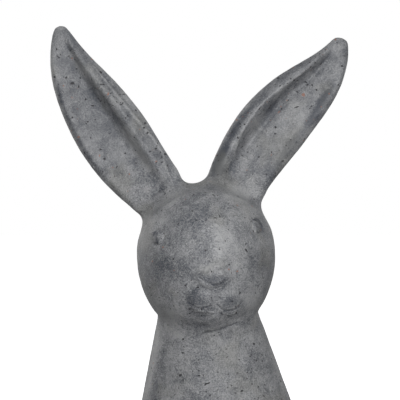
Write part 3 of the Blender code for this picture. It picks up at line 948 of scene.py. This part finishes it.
    def press_pits(self, piece: bpy.types.Object) -> None:
        """Presses small casting pits into the skin, more of them on the ears and the chest.

        Args:
            piece: The bust.
        """
        mesh = piece.data
        chance = np.random.default_rng(self.seed)
        centre = np.array([face.center for face in mesh.polygons])
        area = np.array([face.area for face in mesh.polygons]) / MM**2
        (least, most), (chin, crown), height = self.pit_areas, self.face_height, centre[:, 2]
        weight = area * ((area > least) & (area < most)) * (height > self.foot_height) * is_square(mesh)
        weight *= np.where((height > crown) | (height < chin), 1.0, self.face_pits)
        chosen = chance.choice(len(weight), self.pit_count, replace=False, p=weight / weight.sum())
        bpy.ops.object.mode_set(mode="EDIT")
        bpy.ops.mesh.select_all(action="DESELECT")
        bpy.ops.object.mode_set(mode="OBJECT")
        for index in chosen:
            mesh.polygons[int(index)].select = True
        bpy.ops.object.mode_set(mode="EDIT")
        bpy.ops.mesh.inset(use_individual=True, thickness=self.pit_rim, depth=-self.pit_depth)
        bpy.ops.object.mode_set(mode="OBJECT")
        pits = np.zeros(len(mesh.vertices))
        for face in mesh.polygons:
            if face.select:
                pits[list(face.vertices)] = 1.0
        keep(mesh, "pit", pits)

    def keep_relief(self, piece: bpy.types.Object) -> None:
        """Keeps how far each corner stands out of the surface around it, for its tone: a painted highlight
        with edge wear on crests and painted shade with dirt in hollows.

        Args:
            piece: The bust.
        """
        mesh = piece.data
        points, normals = points_of(mesh), normals_of(mesh)
        near = evened(mesh, points, self.near_rounds)
        wide = evened(mesh, points, self.wide_rounds)
        fine = ((points - near) * normals).sum(1) / self.fine_relief
        broad = ((points - wide) * normals).sum(1) / self.broad_relief
        fine = evened(mesh, np.clip(fine, -1, 1)[:, None], 1)[:, 0]
        keep(mesh, "relief", fine + np.clip(broad, -1, 1) * self.broad_share)

    def keep_inside(self, piece: bpy.types.Object) -> None:
        """Keeps every corner within the solid's box.

        Args:
            piece: The bust.
        """
        low, high = (np.array(corner) for corner in SOLID_BOX)
        put_points(piece.data, np.clip(points_of(piece.data), low, high))

    def dress(self, piece: bpy.types.Object) -> None:
        """Puts the cement on and hands the piece to the frame.

        Args:
            piece: The bust.
        """
        piece.data.materials.append(CementFinish().make())
        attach(piece, "root")
        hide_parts("rabbit_bust")


@dataclass(frozen=True)
class Softbox:
    """A square soft light: its place from the middle of the underside, its side and its power in watts."""

    name: str
    place: tuple[float, float, float]
    size: float
    power: float


SOFTBOXES = (
    Softbox("key", (0.32, -1.42, 0.62), 0.5, 16.8),
    Softbox("top", (-0.30, -0.50, 1.50), 0.8, 3.6),
    Softbox("low_fill", (-0.35, -1.30, 0.06), 0.5, 4.5),
    Softbox("left_edge", (-1.0, 0.75, 0.40), 0.7, 5.0),
    Softbox("right_edge", (1.0, 0.85, 0.40), 0.7, 1.4),
)


@dataclass
class Studio:
    """A plain pale floor, soft light and the camera."""

    view: FrontView
    floor_size: float = 8.0
    floor_colour: Colour = (0.9, 0.9, 0.9)
    floor_roughness: float = 0.8
    floor_glow: float = 0.90
    fill: float = 0.10
    back: float = 0.5
    back_range: tuple[float, float] = (0.25, 0.8)
    sensor: float = 36.0

    def build(self) -> None:
        """Makes the floor, the lights and the camera."""
        self.floor()
        self.sky()
        for box in SOFTBOXES:
            self.light(box)
        self.camera()

    def floor(self) -> None:
        """Makes the floor."""
        bpy.ops.object.select_all(action="DESELECT")
        bpy.ops.mesh.primitive_plane_add(size=self.floor_size)
        floor = bpy.context.object
        floor.name = "floor"
        floor.visible_diffuse = floor.visible_glossy = False
        material = bpy.data.materials.new("pale_floor")
        material.use_nodes = True
        bench = Bench(material.node_tree)
        values = {"Base Color": (*self.floor_colour, 1.0), "Roughness": self.floor_roughness}
        values |= {"Emission Color": (1, 1, 1, 1), "Emission Strength": self.floor_glow}
        shader = bench.add("ShaderNodeBsdfPrincipled", {}, values)
        bench.add("ShaderNodeOutputMaterial", {}, {"Surface": shader})
        floor.data.materials.append(material)

    def sky(self) -> None:
        """Makes the even light from all round, with white behind the bust."""
        world = bpy.data.worlds.new("studio")
        world.use_nodes = True
        bench = Bench(world.node_tree)
        straight = bench.add("ShaderNodeLightPath", {}, {}, "Is Camera Ray")
        way = bench.add("ShaderNodeTexCoord", {}, {}, "Generated")
        behind = bench.add("ShaderNodeSeparateXYZ", {}, {"Vector": way}, "Y").rise(*self.back_range)
        strength = (self.fill + behind * (self.back - self.fill)).at_least(straight)
        shader = bench.add("ShaderNodeBackground", {}, {"Color": (1, 1, 1, 1), "Strength": strength})
        bench.add("ShaderNodeOutputWorld", {}, {"Surface": shader})
        bpy.context.scene.world = world

    def light(self, box: Softbox) -> None:
        """Adds one soft light that looks at the head.

        Args:
            box: The light.
        """
        light = bpy.data.lights.new(box.name, "AREA")
        light.size = box.size
        light.energy = box.power
        stand = bpy.data.objects.new(box.name, light)
        stand.location = box.place
        aim = Vector((self.view.middle, 0.0, self.view.height)) - stand.location
        stand.rotation_euler = aim.to_track_quat("-Z", "Y").to_euler()
        stand.visible_camera = False
        bpy.context.scene.collection.objects.link(stand)

    def camera(self) -> None:
        """Sets the camera up at the matched view."""
        lens = bpy.data.cameras.new("camera")
        lens.sensor_width = self.sensor
        lens.lens = lens.sensor_width * self.view.distance / self.view.width
        camera = bpy.data.objects.new("camera", lens)
        camera.location = self.view.eye()
        camera.rotation_euler = (math.pi / 2 - self.view.elevation, 0.0, 0.0)
        bpy.context.scene.collection.objects.link(camera)
        bpy.context.scene.camera = camera
        bpy.context.scene.view_settings.view_transform = "Standard"


def points_of(mesh: bpy.types.Mesh) -> np.ndarray:
    """Where the mesh's corners are.

    Args:
        mesh: The mesh.

    Returns:
        Rows of x, y and z.
    """
    values = np.zeros(len(mesh.vertices) * 3)
    mesh.vertices.foreach_get("co", values)
    return values.reshape(-1, 3)


def normals_of(mesh: bpy.types.Mesh) -> np.ndarray:
    """The outward direction at each of the mesh's corners.

    Args:
        mesh: The mesh.

    Returns:
        Rows of x, y and z.
    """
    values = np.zeros(len(mesh.vertices) * 3, np.float32)
    mesh.vertex_normals.foreach_get("vector", values)
    return values.reshape(-1, 3).astype(float)


def is_square(mesh: bpy.types.Mesh) -> np.ndarray:
    """Whether each face of the mesh has four sides of about one length.

    Args:
        mesh: The mesh.

    Returns:
        True or False for each face.
    """
    points = points_of(mesh)
    square = np.zeros(len(mesh.polygons), bool)
    for face in mesh.polygons:
        corners = points[list(face.vertices)]
        sides = np.linalg.norm(corners - np.roll(corners, 1, axis=0), axis=1)
        square[face.index] = len(corners) == 4 and sides.max() < SQUARE_RATIO * sides.min()
    return square


def put_points(mesh: bpy.types.Mesh, points: np.ndarray) -> None:
    """Moves the mesh's corners.

    Args:
        mesh: The mesh.
        points: Their new places, as rows of x, y and z.
    """
    mesh.vertices.foreach_set("co", points.ravel())
    mesh.update()


def keep(mesh: bpy.types.Mesh, name: str, values: np.ndarray) -> None:
    """Keeps one number at each corner of a mesh.

    Args:
        mesh: The mesh.
        name: What the numbers are called.
        values: The numbers.
    """
    store = mesh.attributes.get(name) or mesh.attributes.new(name, "FLOAT", "POINT")
    store.data.foreach_set("value", values.astype(np.float32))


def evened(mesh: bpy.types.Mesh, values: np.ndarray, rounds: int) -> np.ndarray:
    """Evens numbers out over neighbouring corners.

    Args:
        mesh: The mesh.
        values: Rows of numbers, one row to a corner.
        rounds: How many times each corner takes the mean of itself and its neighbours.

    Returns:
        The evened rows.
    """
    ends = np.zeros(len(mesh.edges) * 2, np.int32)
    mesh.edges.foreach_get("vertices", ends)
    a, b = ends.reshape(-1, 2).T
    start, stop = np.concatenate([a, b]), np.concatenate([b, a])
    count = np.bincount(start, minlength=len(values))[:, None] + 1
    for _ in range(rounds):
        sums = [np.bincount(start, weights=column[stop], minlength=len(values)) for column in values.T]
        values = (np.stack(sums, 1) + values) / count
    return values


def main() -> None:
    """Builds the bust and its studio."""
    logging.basicConfig(level=logging.INFO, format="%(message)s")
    view = FrontView()
    LOG.info("bust")
    piece = CementRabbit(view).build()
    piece.data.calc_loop_triangles()
    LOG.info("  %s: %d triangles", piece.name, len(piece.data.loop_triangles))
    LOG.info("studio")
    Studio(view).build()


if __name__ == "__main__":
    main()
